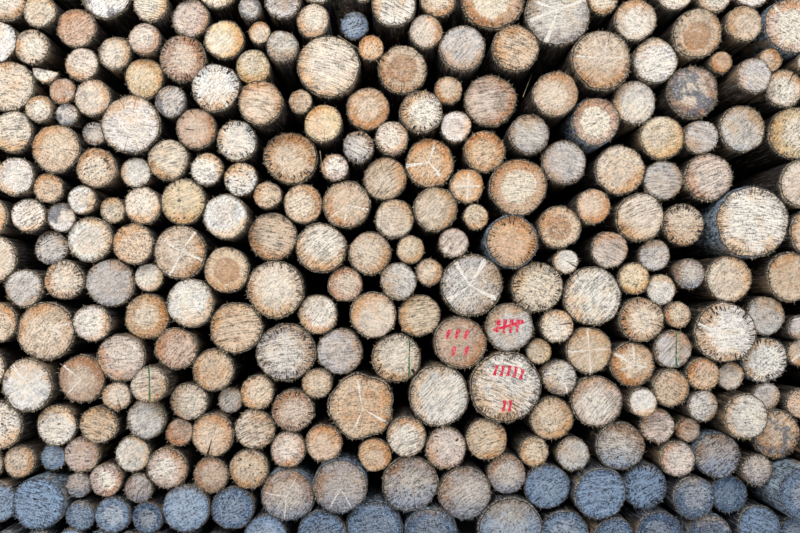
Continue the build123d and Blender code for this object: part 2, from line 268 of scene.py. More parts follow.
def sawn_end():
    r = Recipe("sawn_end_grain")
    across, up, share = r.parts("cut_place")  # metres from the pith, share of the radius
    seed, saw_angle, radius = r.parts("habit")
    rays, streaks, stain = r.parts("marks")
    grey, core, saw = r.parts("age")
    dots, fresh, dampness = r.parts("extras")
    *angles, width, slope = r.parts("ray_angles") + r.parts("ray_sizes")
    tone, groove = r.attribute("tone"), r.amount("groove")

    # noises: specks, fibres, clouds, rings, saw lines and radial ticks
    here = r.vector(across, up, seed)
    turned = r.vector(up, seed, across)
    away = (across * across + up * up) ** 0.5 + 0.0005
    around = r.vector(across / away * radius, up / away * radius, seed + away * 0.25)
    specks = r.noise(here, 98.0, 2.0, 0.8) - 0.5
    fibres = r.noise(here, 190.0, 2.0, 0.8) - 0.5
    cloud = r.noise(here, 11.0, 3.0, 0.6) - 0.5
    patch = r.noise(turned, 26.0, 4.0, 0.7) - 0.5
    rings = r.noise(r.vector(share * radius + cloud * 0.012, seed, 0.0), 250.0, 1.0, 0.6) - 0.5
    along, aside = rotated(across, up, saw_angle)
    bowed = aside + along * along * 0.7
    lines = r.noise(r.vector(bowed, along * 0.10, seed), 160.0, 1.0, 0.6) - 0.5
    hairs = r.noise(r.vector(bowed, along * 0.20, seed + 3.0), 120.0, 3.0, 0.8) - 0.5
    ticks = r.noise(around, 95.0, 2.0, 0.75) - 0.5

    # the wood's colour: warmer patches, weathered patches and a pale dry middle
    # bluish grey, more of it towards the bottom of each end; it also makes the wood less rough
    damp = (dampness * 2.0 - 0.5 - up / radius * 0.55 + patch * 0.9 + cloud * 0.8).ramp(0.0, 0.5)
    damp = damp * (dampness + 0.35).clamped()
    not_greyblue = 1.0 - damp
    r.colour = r.blend(damp, tone, r.blend((seed * 3.7).maths("FRACT"), "475C78", "96ADC8"))
    warm = (patch * 0.25 + cloud + specks * 0.1).ramp(-0.02, 0.20) * 0.7
    r.stain(warm * not_greyblue, "EBCB9F")
    lean = rotated(across, up, seed)[0] / radius
    sunny = (lean * 0.6 + cloud * 1.6 + (share - 0.5) * 0.8 + patch * 0.2).ramp(0.1, 0.75)
    r.stain(sunny * not_greyblue * 0.6, "F0C489")
    weather = (patch * -0.5 + specks * 0.2 - cloud * 1.1).ramp(0.00, 0.22)
    r.lay(weather * grey * 0.75, r.blend(damp, "C3BDB6", "8494A6"))
    middle = (0.70 - share * 0.8 - lean * 0.25 + cloud * 1.6 + patch * 1.4).ramp(0.0, 0.45)
    r.lay(middle * fresh, r.blend(damp, "F4EADB", "9DABBB"))

    # heartwood, darker or paler than the sapwood round it
    heart = (0.62 - share + cloud * 0.5 + specks * 0.15).ramp(-0.03, 0.05)
    pale_core = (core * -1.0).clamped()
    r.stain(heart * core.clamped() * 0.7, "CDA27A")
    r.lay(heart * pale_core * 0.8, "F0E0C6")
    r.stain((1.0 - heart) * pale_core * 0.5, "D3A981")

    # blue stain in the sapwood, and a greyer zone of torn fibres near the rim
    blue = (cloud + (share - 0.6) * 0.16 + specks * 0.25).ramp(0.00, 0.08)
    r.lay(blue * stain * 0.85, "6B7079")
    zone = (share + patch * 0.4 + specks * 0.3).ramp(0.84, 1.00)
    r.lay(zone * 0.30, r.blend(damp, "84694C", "4F5866"))

    # the grain: saw marks, rings and ticks lighten and darken all of it
    coarse = (seed * 7.31).maths("FRACT") * 0.9 + 0.55 + damp * 0.9
    light = (specks * 1.9 + fibres * 1.8 + hairs * 1.8 + lines * 0.4) * coarse + rings * 0.8
    light = light + ticks * share * share * (1.9 + streaks * 1.8) + cloud * 0.3 + 1.0
    light = light + lines * saw * 2.0 + patch * 0.8
    r.colour = r.shaded(r.colour, light.maths("MAXIMUM", DARKEST).maths("MINIMUM", LIGHTEST))

    # pale dry rays
    mask = pale_rays(across, up, angles, width, slope, specks * 0.5 + patch)
    far = r.noise(r.vector(across / away, up / away, seed), 1.3, 0.0) - 0.5
    mask = mask * (1.02 - share + far * 1.2 + patch * 0.4).ramp(0.0, 0.25)
    mask = mask * (1.0 + fibres * 1.5).clamped()
    r.lay(mask * rays, r.shaded("FAEFE1", 1.0 + fibres * 1.5))

    # dark ticks that reach in from the rim, pits, knots of grit and pale flecks
    reach = (share + ticks * 0.5 + streaks * 0.17 + cloud * 0.3).ramp(0.90, 0.98)
    tick = (ticks * 1.2 + fibres * 0.2).ramp(0.02, 0.07) * reach
    r.lay(tick * (0.74 + streaks * 0.25), r.blend(damp, "33271F", "1B232F"))
    dashes = r.noise(r.vector(bowed, along * 0.35, seed + 9.0), 125.0, 1.0, 0.6)
    r.lay(dashes.ramp(0.62, 0.70) * (0.5 * coarse + dots * 0.3), r.blend(damp, "5C4634", "263142"))
    spot = r.noise(turned, 42.0, 1.0, 0.4).ramp(0.69, 0.74)
    r.lay(spot * dots * 0.9, "2F2620")
    # pale flecks of fibre, which on the bluish grey ends are painted wet glints
    flecks_and_glints = r.noise(turned, 110.0, 2.0, 0.7).ramp(0.57, 0.68)
    r.lay(flecks_and_glints * 0.55, r.blend(damp, "FFF8EC", "DCE6F0"))

    # the rim: a thin pale line, then the dark line of the inner bark, and the dark checks
    lit = (share + specks * 0.05).ramp(0.95, 0.965) * (fibres * 4.0 + 0.4).clamped()
    r.lay(lit * 0.6, r.blend(damp, "D9C6A4", "A7B0BA"))
    rim = (share + fibres * 0.04 + ticks * 0.03).ramp(0.970, 0.985)
    r.lay(rim * 0.92, "241B15")
    r.lay(groove.ramp(0.35, 0.8) * 0.85, "2B1F17")

    height = specks * 0.8 + fibres * 0.6 + lines * (0.3 + saw * 1.2) + ticks * share * 0.6
    return r.finish(height, 0.005, 0.85 - damp * 0.25)


SAWN_END = sawn_end()

# %% [markdown]
# ## The bark
# The bark is thin and grey-brown, with shallow furrows that run along the log, scaly flakes
# that catch the light, and patches that were knocked off, where pale wood shows. Stretched
# noise gives the furrows, since all logs lie along one axis. The same step makes the plain
# colours of the loose fibres and of the painted strokes.

# %% Bark, fibre and paint materials
HALF_LENGTH = 2.5  # of a log, in metres


def bark():
    r = Recipe("bark")
    tone, damp = r.attribute("bark_tone"), r.amount("damp_bark")
    bare, edge = r.amount("bare"), r.amount("edge")
    x, y, z = r.parts(r.place())

    # painted shade darkens bluish grey bark deep in the stack; painted sky glints stay near the
    # ends
    inside = (HALF_LENGTH - y.maths("ABSOLUTE")).ramp(0.05, 0.45)
    tone = r.blend(inside * damp * 0.8, tone, "272422")
    stretched = r.vector(x, y * 0.08, z)
    plates = r.noise(stretched, 42.0, 4.0, 0.7, 0.6)
    fine = r.noise(stretched, 150.0, 3.0, 0.75)
    light = 0.10 + plates.ramp(0.42, 0.56) * 0.65 + (fine - 0.40) * 3.4
    r.colour = r.shaded(tone, light.maths("MAXIMUM", 0.05))
    # pale scales; near the ends of bluish grey bark they carry a painted bluish sky glint
    scales = (fine * 0.65 + plates * 0.35).ramp(0.53, 0.60)
    r.lay(scales * (damp * 0.4 + 0.4), r.blend(damp * (1.0 - inside), "9C9080", "BACBD9"))
    # painted sky reflection: pale blue-white patches near the bark's ends
    glint_patches = r.noise(r.vector(x, y * 0.6, z), 55.0, 4.0, 0.75) - inside * 0.4
    frosted = (damp * 2.0 - 1.0).clamped()
    r.lay(glint_patches.ramp(0.47, 0.56) * frosted * 0.8, r.shaded("B6CAD8", 0.3 + fine * 1.4))

    # bare wood in patches, and torn fibres at the edge
    wood = r.shaded("A88B6A", 0.2 + fine * 1.5)
    patch = r.noise(r.vector(x, y * 0.2, z), 9.0, 4.0, 0.65)
    r.lay(patch.ramp(0.62, 0.66) * 0.7, wood)
    r.lay(bare * 0.85, wood)
    torn = r.noise(r.place(), 130.0, 2.0, 0.75)
    shred = r.shaded(r.blend(damp, "CDBCA4", "96A2B2"), (torn - 0.42) * 7.0)
    r.lay(edge * 0.85, shred)
    return r.finish(plates * 0.8 + fine * 0.6, 0.012, 0.9 - damp * 0.3)


def fibre():
    """Pale torn fibres, bluish low in the stack."""
    r = Recipe("torn_fibre")
    vary = r.noise(r.place(), 60.0, 2.0, 0.6)
    low = r.parts(r.place())[2].ramp(0.42, 0.20)
    r.colour = r.shaded(r.blend(low, "C9B597", "96A1AE"), vary * 2.4 - 0.2)
    return r.finish(vary, 0.001, 0.85)


def coat(name, code):
    """Paint brushed or sprayed on rough wood, so that it is thin in places."""
    r = Recipe(name)
    worn = r.noise(r.place(), 130.0, 3.0, 0.7)
    cover = r.blend(worn.ramp(0.50, 0.64), code, r.blend(0.6, code, "D9BFA2"))
    r.colour = r.shaded(cover, 0.55 + worn * 0.9)
    return r.finish(worn, 0.002, 0.6)


BARK = bark()
FIBRE = fibre()
RED = coat("red_paint", "E3204C")
GREEN = coat("green_paint", "1F6B45")

# %% [markdown]
# ## Reading the bars
# Each node of the frame holds one course of logs as loose triangles. A merged copy falls apart
# into closed bars. The corners of a bar's two ends give a log's outline, place and length.

# %% Read the bars
WELD = 0.00002  # corners that are closer than this are one
SPLIT_BELOW = 0.85  # roundness under which a log counts as split


class Bar:
    """One log of the frame: the corners of its front and back end, and where they lie."""

    def __init__(self, points):
        middle = points[:, 1].mean()
        self.ends = []
        for ring in (points[points[:, 1] < middle], points[points[:, 1] >= middle]):
            flat = ring[:, [0, 2]]
            off = flat - flat.mean(axis=0)
            order = np.argsort(np.arctan2(off[:, 1], off[:, 0]))
            self.ends.append((flat[order], ring[:, 1].mean()))
        corners = self.ends[0][0]
        following = np.roll(corners, -1, axis=0)
        cross = corners[:, 0] * following[:, 1] - corners[:, 1] * following[:, 0]
        area = cross.sum() / 2
        self.centre = ((corners + following) * cross[:, None]).sum(axis=0) / (6 * area)
        around = np.linalg.norm(following - corners, axis=1).sum()
        self.split = 4 * math.pi * area / around ** 2 < SPLIT_BELOW
        self.radius = math.sqrt(area / math.pi)


def bars_of(node):
    """The bars of one course, from a merged copy of its mesh."""
    mesh = bmesh.new()
    mesh.from_mesh(node.data)
    bmesh.ops.remove_doubles(mesh, verts=mesh.verts, dist=WELD)
    seen, bars = set(), []
    for start in mesh.verts:
        if start in seen:
            continue
        group, ahead = [], [start]
        seen.add(start)
        while ahead:
            vert = ahead.pop()
            group.append(tuple(vert.co))
            for edge in vert.link_edges:
                other = edge.other_vert(vert)
                if other not in seen:
                    seen.add(other)
                    ahead.append(other)
        bars.append(Bar(np.array(group)))
    mesh.free()
    return sorted(bars, key=lambda bar: (round(bar.centre[0], 3), round(bar.centre[1], 3)))


courses = {name: bars_of(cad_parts[name]) for name in sorted(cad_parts)}
all_bars = [bar for bars in courses.values() for bar in bars]
print(len(all_bars), "logs,", sum(bar.split for bar in all_bars), "of them split")

# %% [markdown]
# ## What each log looks like
# The log ends in the photograph are cream, tan, orange, pinkish, grey or nearly white, and the
# lowest rows are blue-grey. Logs that stand out are named here by where their ends lie, in
# centimetres across and up, and the nearest log takes the finish. The others draw theirs.

# %% Finishes
LOOKS = {  # where log ends with a look lie: centimetres across and up
    "cream": "-180,275 -91,288 -44,271 -17,285 103,282 137,287 158,284 -146,255 -158,244 -184,229 "
        "-151,229 195,234 -4,211 114,199 -129,180 -4,171 200,183 -206,148 205,155 -13,121 78,114 "
        "170,95 -142,83 -43,122 118,270 12,266 -206,95 -203,175 202,246",
    "cream streaks": "-185,256 -200,278 2,101 9,222 -169,142 68,135",
    "cream saw": "-124,278 -192,214 -118,197 -42,155 4,62 -125,90 121,174 -73,62 -36,247",
    "cream ticks": "-62,136 -200,236 -107,80",
    "yellow": "-88,261 -129,238 -38,218 -75,247 69,103 117,140 198,209 132,212",
    "yellow dots ticks": "-107,178",
    "pale": "-190,192 -137,190 132,136 -154,116 -182,244 117,230 30,219 118,77 82,148",
    "pale saw": "-3,277 -186,169 20,81 95,130",
    "pale saw frosted": "173,159",
    "pale checks": "-134,214 -157,161 -130,144",
    "pale dots": "-198,68 -175,70 170,72 -135,52 -80,189 -95,195",
    "white": "-89,171 -156,179 -104,129",
    "white stain": "-149,285 -169,173",
    "white star": "129,250 -184,89",
    "white star streaks": "-94,234 -82,209 164,120",
    "white star streaks frosted": "185,105",
    "white star paleheart frosted": "196,267",
    "pink": "-106,272 -31,196 -128,259 -56,53 -139,103 -115,46",
    "pink dots": "-161,53 22,56 -148,41 138,51",
    "pink paleheart frosted": "99,219",
    "pink saw": "132,67 96,79 104,156 27,156 160,188",
    "tan": "-70,264 -175,183 -144,175 -66,182 -51,178 4,154 139,123 -97,96 -70,82 -42,87 134,85 "
        "-190,49 172,268 18,280 76,231 -134,160 -200,119 203,78 15,144 38,173",
    "tan checks": "-50,230 -16,155 17,173 -170,203 -94,64 77,70",
    "tan saw": "57,255 12,122 -149,70 -9,190 -82,115 44,58 -72,228 -67,162",
    "tan dots": "-152,196 67,55 -74,41",
    "tan darkheart": "2,247 149,264 80,167 -86,146",
    "tan paleheart": "47,283 59,183",
    "tan rays": "101,248 -29,178 94,103",
    "tan star": "-113,153 -176,116",
    "tan star lobed": "-18,78",
    "tan streaks": "121,120 143,168",
    "orange": "159,247 186,248 23,235 -15,222 96,181 -130,126 153,98 -38,59 -16,52 42,205 -14,257",
    "orange streaks": "-55,201",
    "orange streaks frosted": "53,157",
    "orange star": "33,186 117,96 202,102 15,198",
    "orange stain": "188,63",
    "brown": "-160,262 -171,235 -104,212 -114,109 -112,64 -92,44 -29,136 146,67 31,107",
    "brown streaks": "-106,247 -52,72",
    "brown saw": "44,230",
    "brown star": "-159,94",
    "brown stain": "150,231",
    "grey": "-59,280 -58,256 31,256 175,241 64,213 173,217 151,207 82,199 136,190 128,153 "
        "-147,140 -187,137 -1,137 186,131 54,114 202,116 -30,105 -87,80 151,81 183,84 -130,72 "
        "83,50 138,106",
    "grey stain": "-172,224 -75,276 -114,228",
    "grey star": "35,135 79,91 79,274",
    "grey streaks": "-156,214 -21,208 -174,157 -58,101",
    "dusk frosted": "157,51",
    "dusk": "111,58 175,47 -164,38 -130,36 3,38 34,35 57,40 148,141",
    "dusk rays frosted": "-55,31 -29,36",
    "slate frosted": "198,38 -181,32 18,15 155,16 -10,14",
    "slate frosted streaks": "123,36",
    "slate": "-23,272 -176,52 -204,32 76,32 98,35 144,33 164,32 -159,25 -142,25 -125,22 -106,26 "
        "-85,25 -67,13 -41,13 52,13 82,11 106,13 128,14 178,21 200,15",
    "pale saw ticks": "53,84",
}
TONES = {
    "cream": "E9D3B9", "yellow": "EFD1A2", "pale": "F5EADD", "white": "F6EFE7", "pink": "DAC2B3",
    "tan": "DABC9B", "orange": "DAAD7F", "brown": "C9A488", "grey": "CFC5BD",
    "dusk": "AC9C95", "slate": "9C9188",
}
BARKS = ("352A21", "41342A", "4B4036", "3C3430", "544B43", "2F261F")
SIGNS = {  # what a word adds to a log's finish, where it isn't a full amount of its own name
    "star": ("rays", 1.0), "rays": ("rays", 0.9), "ticks": ("streaks", 0.55),
    "darkheart": ("core", 0.9), "paleheart": ("core", -0.9), "lobed": ("lobes", 1.0),
    "frosted": ("frost", 1.0),
}
RAYS = {  # angles of the pale rays of some log ends, in degrees up from the right
    (33, 186): (0, 88, 182, 268), (35, 135): (58, 122, 215, 332), (101, 248): (2, 176, 80),
    (117, 96): (92, 200, 350, 150), (94, 103): (95, 185, 275, 5), (-29, 178): (215, 262, 350),
    (-176, 116): (340, 12), (-159, 94): (140, 225), (-18, 78): (100, 250, 330),
    (79, 91): (60, 170, 290), (-55, 31): (62, 265, 170), (-29, 36): (240, 300),
    (79, 274): (160, 200, 20, 250), (-184, 89): (40, 130, 210, 300), (15, 198): (70, 190, 310),
    (-94, 234): (300, 245, 350, 170), (129, 250): (30, 150, 200, 280), (202, 102): (100, 220, 340),
}
STROKES = {  # painted strokes on some log ends: lines in centimetres from the pith
    (31, 107): ("red", [((-7, 2), (-5, 6.5)), ((-2.5, 2), (-0.5, 6.5)), ((2, 2), (4, 6)),
        ((-4, -6.5), (-2.5, -2)), ((2, -6), (4, -2))]),
    (54, 114): ("red", [((-6, -2.5), (-5.5, 4)), ((-2.8, -3), (-2.3, 4)), ((0.5, -3), (1, 4)),
        ((3.8, -2.5), (4.3, 4)), ((-8, -1.5), (7, 3))]),
    (53, 84): ("red", [((-5.5, 6), (-4.5, 11)), ((-2.2, 5.5), (-1.2, 10.8)), ((1, 5.5), (2, 10.8)),
        ((4.2, 5), (5.2, 10.3)), ((7.4, 4), (8.4, 9)), ((-1, -12), (-0.5, -6.5)),
        ((2, -12), (2.5, -6.5))]),
    (-125, 90): ("green", [((-0.2, 8.3), (0.6, -8.3))]),
    (2, 101): ("green", [((6.8, 9.5), (6.4, -9.5))]),
    (138, 106): ("green", [((1.4, 9), (1.8, -9))]),
}
STRAWS = [  # loose stems and slivers before the ends: from, to, across and up in centimetres
    ((-31, 263), (-12, 250)), ((-14, 254), (-2, 236)), ((-40, 205), (-38, 191)),
    ((-37, 203), (-33, 192)), ((122, 47), (132, 42)), ((121, 68), (128, 64)),
    ((-80, 120), (-74, 112)), ((62, 232), (66, 243)), ((170, 222), (176, 214)),
]
GREYBLUE_RANGES = {"slate": (0.50, 0.95), "dusk": (0.20, 0.32), "grey": (0.05, 0.14)}  # range for a tone
LOW_DOWN = 30  # centimetres up, below which logs not named are drawn slate or dusk


def finish_of(words, dice):
    """The numbers of a log's finish, from its words and some chance."""
    tone, *words = words.split()
    look = {
        "seed": dice.uniform(0, 60), "saw_angle": dice.uniform(-0.5, 0.9),
        "rays": 0.0, "streaks": dice.uniform(0, 0.4), "stain": 0.0, "lobes": 0.0, "frost": 0.0,
        "grey": dice.uniform(0.2, 0.7), "core": dice.uniform(-0.35, 0.35),
        "saw": dice.uniform(0, 0.35), "dots": dice.uniform(0, 0.3), "damp": 0.0,
        "fresh": dice.uniform(0.2, 0.9), "bark": dice.uniform(0.5, 1.2),
        "checks": list(dice.uniform(0, math.tau, dice.integers(0, 4))),
        "check_reach": dice.uniform(0.5, 1.3),
        "ray_angles": dice.uniform(0, 1.5) + np.arange(4) * dice.uniform(1.2, 1.7),
        "ray_sizes": (dice.uniform(0.0012, 0.0026), dice.uniform(0.01, 0.05)),
    }
    if "star" in words:
        look["ray_sizes"] = (dice.uniform(0.002, 0.004), dice.uniform(0.03, 0.07))
    for word in words:
        if word == "checks":
            look["checks"] = list(dice.uniform(0, math.tau, 4))
            look["check_reach"] = 1.3
        else:
            look.update([SIGNS.get(word, (word, 1.0))])
    look["fresh"] *= 0.6 if tone in ("tan", "orange", "brown") else 1.0
    look["grey"] *= 0.6 if tone in ("tan", "orange", "yellow") else 1.0
    # tones given a share of bluish grey, drawn from their own range
    if tone in GREYBLUE_RANGES:
        look.update(damp=dice.uniform(*GREYBLUE_RANGES[tone]), grey=0.8, fresh=look["fresh"] * 0.5,
                    saw=dice.uniform(0.1, 1.0))
    mixed = 1 + dice.normal(0, 0.010, 3) + dice.normal(0, 0.06)
    look["tone"] = [c * m for c, m in zip(paint(TONES[tone]), mixed)] + [1.0]
    rind = np.array(paint(str(dice.choice(BARKS))))
    # the bark is darker and bluer on bluish grey logs, and paler where it has a painted sky glint
    for share, code in ((look["damp"] * 0.8, "3A4350"), (look["frost"] * 0.2, "A2B3C2")):
        rind = rind * (1 - share) + np.array(paint(code)) * share
    look["bark_tone"] = rind
    look["damp_bark"] = max(look["damp"] * 0.5, look["frost"])
    return look


def all_looks(bars, dice):
    """A finish for each log: the named ones by place, the rest drawn to suit their height."""
    words = [None] * len(bars)
    ends = np.array([bar.centre * 100 for bar in bars])
    nearest = lambda place: int(np.argmin(np.linalg.norm(ends - place, axis=1)))
    for look, places in LOOKS.items():
        for place in places.split():
            words[nearest(np.array(place.split(","), float))] = look
    others = ("cream", "tan", "cream saw", "pale", "pink", "grey", "orange", "tan streaks",
              "yellow", "white star", "brown", "tan rays")
    low = ("slate", "dusk", "slate")
    drawn = [str(dice.choice(low if end[1] < LOW_DOWN else others)) for end in ends]
    looks = [finish_of(word or other, dice) for word, other in zip(words, drawn)]
    for place, angles in RAYS.items():
        angles = (angles + angles[-1:] * 4)[:4]
        looks[nearest(place)]["ray_angles"] = np.radians(angles)
    for place, strokes in STROKES.items():
        looks[nearest(place)]["strokes"] = strokes
    return looks


# %% [markdown]
# ## Building a log
# The outline of a bar is smoothed into a rounded one. Rings of points run from the pith to the
# rim, over the bark's edge and along the log to its other end. Each log has a saw cut that is
# not quite square, gentle bumps, a chipped rim, and a few drying checks that are real grooves.

# %% The shape of one log
BARK_THICKNESS, USUAL_RADIUS = 0.0032, 0.1  # thicker logs have thicker bark
PITH_SHIFT = 0.05  # spread of the pith's way off the middle, as a share of the radius
SPACING = 0.0125  # aimed width of one facet around the rim
FEWEST, MOST = 34, 88  # facets around a log
CHECK_HALF, CHECK_DEPTH = 0.0018, 0.011
CORNER_TO_ROUND = 0.984  # a round log has a smaller radius than a many-sided one's corners
END_RINGS = (0.16, 0.42, 0.7, 0.9, 1.0)  # shares of the radius
STATIONS = (0.014, 0.04, 0.09, 0.18, 0.4, 0.9, 2.0, 3.4, 4.8)
END_INSET = 0.004  # the cuts lie this far inside a bar's ends
CUT_SLOPE = 0.02  # spread of how far a cut leans
CUT_WAVE, CUT_WAVES = 0.0007, 90  # height of the saw's ripples, and how close they are
LOBES, LOBE_DEPTH = 5, 0.07
TRUNK_WAVES = ((2, 0.5, 0.006), (3, 1.2, 0.006), (4, 2.6, 0.006), (5, 4.0, 0.006),
               (7, 7.0, 0.006), (9, 12.0, 0.004), (12, 5.0, 0.004))  # round, along, height
TRUNK_MARGIN = 0.006  # share of the radius that keeps the waves within the bar


def smooth_radius(corners, centre, angles, split):
    """How far a bar's outline lies from its centre at each angle."""
    off = corners - centre
    if split:
        edge = np.roll(off, -1, axis=0) - off
        normal = np.column_stack([edge[:, 1], -edge[:, 0]])
        normal /= np.linalg.norm(normal, axis=1)[:, None]
        depth = (normal * off).sum(axis=1)
        facing = normal @ np.array([np.cos(angles), np.sin(angles)])
        reach = np.where(facing > 1e-6, depth[:, None] / np.maximum(facing, 1e-6), 9.0)
        return reach.min(axis=0)
    own = np.arctan2(off[:, 1], off[:, 0])
    waves = lambda a: np.column_stack(
        [np.ones(len(a))] + [f(k * a) for k in (1, 2, 3) for f in (np.cos, np.sin)])
    fit, *_ = np.linalg.lstsq(waves(own), np.linalg.norm(off, axis=1), rcond=None)
    return waves(angles) @ fit * CORNER_TO_ROUND


class Shape:
    """The angles, outline and saw cut of one log, from its bar, its finish and chance."""

    def __init__(self, bar, look, dice):
        turns = int(np.clip(math.tau * bar.radius / SPACING, FEWEST, MOST))
        self.turns, self.bar, self.look = turns, bar, look
        self.angles = np.arange(turns) * math.tau / turns
        self.is_check = np.zeros(turns, bool)
        for angle in look["checks"]:
            self.add_check(int(round(angle / math.tau * turns)) % turns)
        (front, self.y0), (back, self.y1) = bar.ends
        self.length = self.y1 - self.y0
        self.front_centre = bar.centre
        self.back_centre = back.mean(axis=0) + (bar.centre - front.mean(axis=0))
        self.r_front = smooth_radius(front, self.front_centre, self.angles, bar.split)
        self.r_back = smooth_radius(back, self.back_centre, self.angles, bar.split)
        self.way = np.column_stack([np.cos(self.angles), np.sin(self.angles)])
        self.thick = BARK_THICKNESS * look["bark"] * (bar.radius / USUAL_RADIUS) ** 0.5
        self.phase = dice.uniform(0, math.tau, 8)
        self.tilt = dice.normal(0, CUT_SLOPE, 2)
        self.pith = dice.normal(0, PITH_SHIFT, 2) * bar.radius

    def add_check(self, k):
        """A drying check: three close angles, of which the middle one is pushed in."""
        before, after = k - 1, (k + 1) % self.turns
        if self.is_check[[before, k, after]].any():
            return
        self.is_check[k] = True
        half = CHECK_HALF / self.bar.radius
        self.angles[before], self.angles[after] = self.angles[k] - half, self.angles[k] + half

    def trunk(self, s):
        """Radius at each angle, a way s along the log."""
        bump = sum(high * np.cos(m * self.angles + along * s + p)
                   for (m, along, high), p in zip(TRUNK_WAVES, self.phase))
        lobes = 0.5 + 0.5 * np.cos(LOBES * self.angles + self.phase[7])
        t = s / self.length
        plain = self.r_front * (1 - t) + self.r_back * t
        return plain * (1 + bump - TRUNK_MARGIN - LOBE_DEPTH * self.look["lobes"] * lobes ** 2)

    def cut_depth(self, flat):
        """Where the saw cut lies at points across the end."""
        waviness = CUT_WAVE * np.sin(flat[:, 0] * CUT_WAVES + self.phase[0])
        return self.y0 + END_INSET + flat @ self.tilt + waviness

    def on_cut(self, flat, deeper=0.0):
        """Points on the saw cut, or deeper than it."""
        return np.column_stack([flat + self.front_centre, self.cut_depth(flat) + deeper])


# %% [markdown]
# The next class collects the logs of one course as one mesh. It also keeps the places round
# each rim where torn fibres stick out, and lays painted strokes just proud of an end.

# %% The mesh of one course
FIBRES_PER_METRE = 62  # torn fibres along a rim
FIBRES_BELOW = 0.55  # share of them that hang from its lower side
FIBRE_REACH, FIBRE_EXTRA = 0.006, 0.016  # least length, and what chance can add
FIBRE_GIRTH = (0.0007, 0.0016)
FRAYED = []  # place, direction, length and thickness of the torn fibres of each log
MOST_CHIPS, CHIP_WIDTH = 3, (0.1, 0.45)  # chips on a rim, and half their width in radians
CHIP_FADE, EDGE_FADE = 0.05, 0.010  # how soon a chip and the torn edge end along the bark
SLANT_END = 0.05  # how far along the bark the slant of the saw cut reaches
ROUGHNESS, RIM_ROUGHNESS = 0.0011, 0.022  # of the trunk, and of the rim's radius as a share
STROKE_WIDTH = {"red": 0.0155, "green": 0.0075}
STROKE_STEPS = 6
STROKE_FRONT, STROKE_BACK = -0.0010, 0.0008  # how deep a stroke's two sides lie
SHARP_ANGLE = math.radians(50)
SLOTS = {"end": 0, "bark": 1, "red": 2, "green": 3}
OWN = {"marks": ("rays", "streaks", "stain"), "age": ("grey", "core", "saw"),
       "extras": ("dots", "fresh", "damp")}  # numbers of a look that go together as vectors


def carry(mesh, name, data):
    """Gives each point of a mesh its number, vector or colour, under a name."""
    data = np.asarray(data, np.float32)
    kind, field = {1: ("FLOAT", "value"), 3: ("FLOAT_VECTOR", "vector"),
                   4: ("FLOAT_COLOR", "color")}[data.shape[1]]
    mesh.attributes.new(name, kind, "POINT").data.foreach_set(field, data.ravel())


def shifted(ring):
    """The point after each one of a ring."""
    return [*ring[1:], ring[0]]


def between(inner, outer):
    """Quads between two rings of points, facing out."""
    return list(zip(inner, shifted(inner), shifted(outer), outer))


